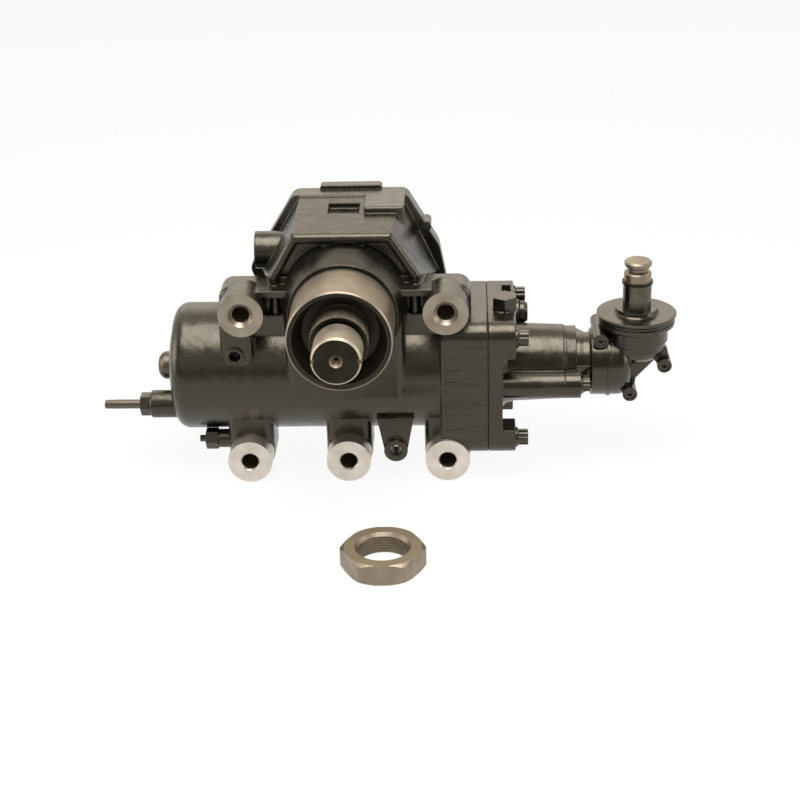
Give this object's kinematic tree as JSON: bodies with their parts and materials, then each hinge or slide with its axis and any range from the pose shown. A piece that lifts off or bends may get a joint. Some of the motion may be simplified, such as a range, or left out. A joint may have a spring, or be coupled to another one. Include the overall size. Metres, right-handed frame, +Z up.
{
  "type": "steering gearbox",
  "caption": "Heavy truck power steering gear: cast housing with rack piston, ball screw and toothed output shaft, right angle bevel input drive, and a loose shaft nut.",
  "frame": {"origin": "on the output shaft's axis, in the plane of the five mounting boss faces", "axes": "+X along the piston towards the right angle input drive, +Y from the mounting faces into the gear, so the output shaft points to -Y, and +Z up, the way the input shaft points"},
  "size_m": [0.613, 0.3975, 0.2825],
  "materials": {
    "black_cast_iron": "black paint over cast iron, with bare machined faces",
    "black_steel": "black, satin",
    "machined_steel": "machined",
    "bearing_steel": "ground",
    "black_rubber": "matte",
    "ring_plastic": "smooth"
  },
  "bodies": {
    "gear_case": {"housing": "black_cast_iron", "side_cover": "black_cast_iron", "side_cover_seal": "black_rubber", "side_cover_bolts": "black_steel", "adjusting_screw": "machined_steel", "adjusting_locknut": "machined_steel", "front_sector_bearing": "bearing_steel", "rear_sector_bearing": "bearing_steel", "sector_shaft_seal": "black_rubber", "sector_dust_seal": "black_rubber", "seal_snap_ring": "black_steel", "worm_bearing": "bearing_steel", "worm_bearing_ring": "bearing_steel", "stub_bearing": "bearing_steel", "valve_seal": "black_rubber", "valve_cover": "black_cast_iron", "valve_cover_bolts": "black_steel", "relief_valve_plug": "black_steel", "port_plug": "black_steel", "small_plug": "black_steel", "bevel_housing": "black_cast_iron", "bevel_flange_bolts": "black_steel", "bevel_ear_plugs": "black_steel", "input_bearing": "bearing_steel", "bevel_top_cover": "black_cast_iron", "input_seal": "black_rubber", "stub_rear_bearing": "bearing_steel", "limiter_screw": "machined_steel", "limiter_locknut": "black_steel", "end_plug": "black_steel", "bleed_screw": "black_steel"},
    "output_shaft": {"sector_shaft": "machined_steel", "adjuster_retainer": "machined_steel"},
    "power_piston": {"rack_piston": "machined_steel", "piston_ring": "ring_plastic", "limiter_poppets": "machined_steel", "ball_return_guide": "machined_steel", "ball_return_clip": "machined_steel", "balls": "bearing_steel"},
    "ball_screw": {"worm_shaft": "machined_steel", "torsion_bar": "machined_steel", "valve_sleeve": "machined_steel", "valve_rotor": "machined_steel", "driven_bevel_gear": "machined_steel"},
    "input": {"input_shaft": "machined_steel", "input_snap_ring": "machined_steel", "dust_cover": "black_steel"},
    "loose_nut": {"drop_arm_nut": "machined_steel"}
  },
  "joints": [
    {"name": "sector_shaft_turn", "type": "hinge", "parent": "gear_case", "child": "output_shaft", "pos_m": [0, 0, 0], "axis": [0, 1, 0], "range_deg": [-45, 45]},
    {"name": "piston_slide", "type": "slide", "parent": "gear_case", "child": "power_piston", "axis": [1, 0, 0], "range_m": [-0.0346, 0.0346]},
    {"name": "worm_turn", "type": "hinge", "parent": "gear_case", "child": "ball_screw", "pos_m": [0.12, 0.075, -0.0845], "axis": [1, 0, 0], "range_deg": [-922, 922]},
    {"name": "input_turn", "type": "hinge", "parent": "gear_case", "child": "input", "pos_m": [0.306, 0.075, 0], "axis": [0, 0, 1], "range_deg": [-922, 922]},
    {"name": "nut_lift", "type": "slide", "parent": "gear_case", "child": "loose_nut", "axis": [0, 0, 1], "range_m": [0, 0.1]}
  ],
  "couplings": [
    {"joint": "piston_slide", "follows": "sector_shaft_turn", "m_per_rad": -0.044},
    {"joint": "worm_turn", "follows": "sector_shaft_turn", "ratio": 20.479},
    {"joint": "input_turn", "follows": "sector_shaft_turn", "ratio": 20.479}
  ]
}
